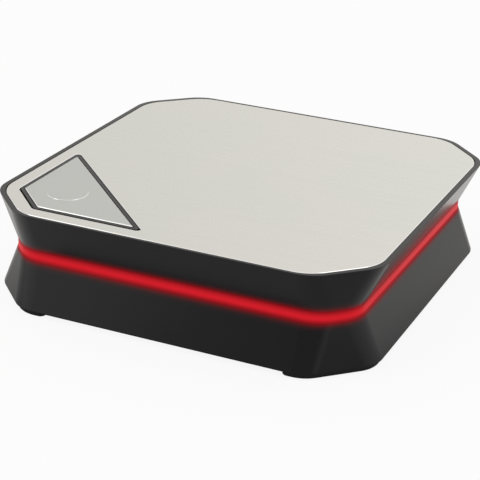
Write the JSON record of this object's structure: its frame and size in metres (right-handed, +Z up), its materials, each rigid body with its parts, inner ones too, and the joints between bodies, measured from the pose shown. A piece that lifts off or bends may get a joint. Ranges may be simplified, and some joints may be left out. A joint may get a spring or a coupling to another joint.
{
  "type": "video capture box",
  "caption": "Square desktop capture box with cut corners, flared halves that meet at a red light band, a metal top, a large corner key and rear sockets.",
  "frame": {"origin": "on the table, under the middle of the box", "axes": "+Z up, -Y out of the front, +X to the right as seen from the front"},
  "size_m": [0.14, 0.1428, 0.037],
  "materials": {
    "black_plastic": "fine satin moulding grain",
    "plate_metal": "fine brushed, anodised clear",
    "key_metal": "satin, with a polished bevel",
    "red_diffuser": "milky red, lit from behind",
    "foot_rubber": "matte",
    "screw_steel": "dark oxide",
    "adhesive": "bonding sheet",
    "board_laminate": "solder mask",
    "chip_plastic": "moulded",
    "switch_plastic": "moulded",
    "cable_film": "flat film",
    "socket_plastic": "moulded",
    "strip_film": "flexible circuit film",
    "light_lens": "clear, lit",
    "pad_rubber": "soft pad",
    "sink_metal": "extruded",
    "coil_ferrite": "ferrite",
    "socket_steel": "nickel plated",
    "jack_plastic": "moulded"
  },
  "bodies": {
    "case": {"base_shell": "black_plastic", "upper_shell": "black_plastic", "light_band": "red_diffuser", "top_plate": "plate_metal", "plate_adhesive": "adhesive", "rear_panel": "black_plastic", "foot_front_left": "foot_rubber", "foot_front_right": "foot_rubber", "foot_rear_left": "foot_rubber", "foot_rear_right": "foot_rubber", "case_screws": "screw_steel", "key_board": "board_laminate", "key_board_screws": "screw_steel", "switch_body": "chip_plastic", "ribbon_cable": "cable_film", "ribbon_sockets": "socket_plastic", "light_strip": "strip_film", "band_lights": "light_lens", "main_board": "board_laminate", "board_screws": "screw_steel", "encoder_chip": "chip_plastic", "heat_pad": "pad_rubber", "heat_sink": "sink_metal", "receiver_chip": "chip_plastic", "output_chip": "chip_plastic", "sound_chip": "chip_plastic", "bridge_chip": "chip_plastic", "memory_chips": "chip_plastic", "program_chip": "chip_plastic", "crystals": "socket_steel", "power_coils": "coil_ferrite", "capacitor_cans": "sink_metal", "video_in_shell": "socket_steel", "video_in_tongue": "jack_plastic", "video_out_shell": "socket_steel", "video_out_tongue": "jack_plastic", "data_shell": "socket_steel", "data_tongue": "jack_plastic", "power_jack": "jack_plastic", "power_pin": "socket_steel", "audio_jack": "jack_plastic"},
    "key": {"key_cap": "key_metal", "key_carrier": "black_plastic"},
    "plunger": {"switch_plunger": "switch_plastic"}
  },
  "joints": [
    {"name": "key_press", "type": "slide", "parent": "case", "child": "key", "axis": [0, 0, -1], "range_m": [0, 0.001], "stiffness_N_per_m": 1500, "springref_m": -0.0006},
    {"name": "plunger_press", "type": "slide", "parent": "case", "child": "plunger", "axis": [0, 0, -1], "range_m": [0, 0.001]}
  ],
  "couplings": [
    {"joint": "plunger_press", "follows": "key_press", "ratio": 1}
  ]
}
